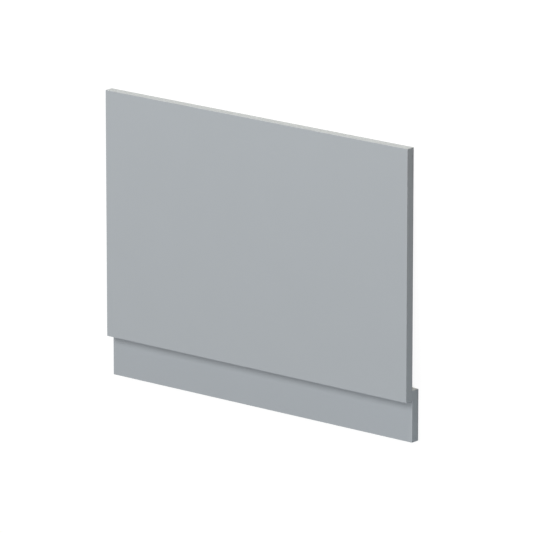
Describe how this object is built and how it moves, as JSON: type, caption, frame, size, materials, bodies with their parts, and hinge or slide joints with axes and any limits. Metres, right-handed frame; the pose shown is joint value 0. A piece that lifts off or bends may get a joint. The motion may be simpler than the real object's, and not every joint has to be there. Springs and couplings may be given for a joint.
{
  "type": "bath panel",
  "caption": "Flat rectangular bath end panel with a plinth board lapped behind its lower edge, which closes in the end of a bath down to the floor.",
  "frame": {"origin": "on the floor, at the middle of the ground that the part covers as it lies on its back", "axes": "+X across the panel, +Y up the panel towards its top edge, +Z out of the front face, which faces up; the part lies 2.30 degrees off level on its top edge and its plinth"},
  "size_m": [0.7, 0.547, 0.0367],
  "materials": {
    "satin_grey": "satin"
  },
  "bodies": {
    "root": {"panel_board": "satin_grey", "plinth_board": "satin_grey"}
  },
  "joints": []
}
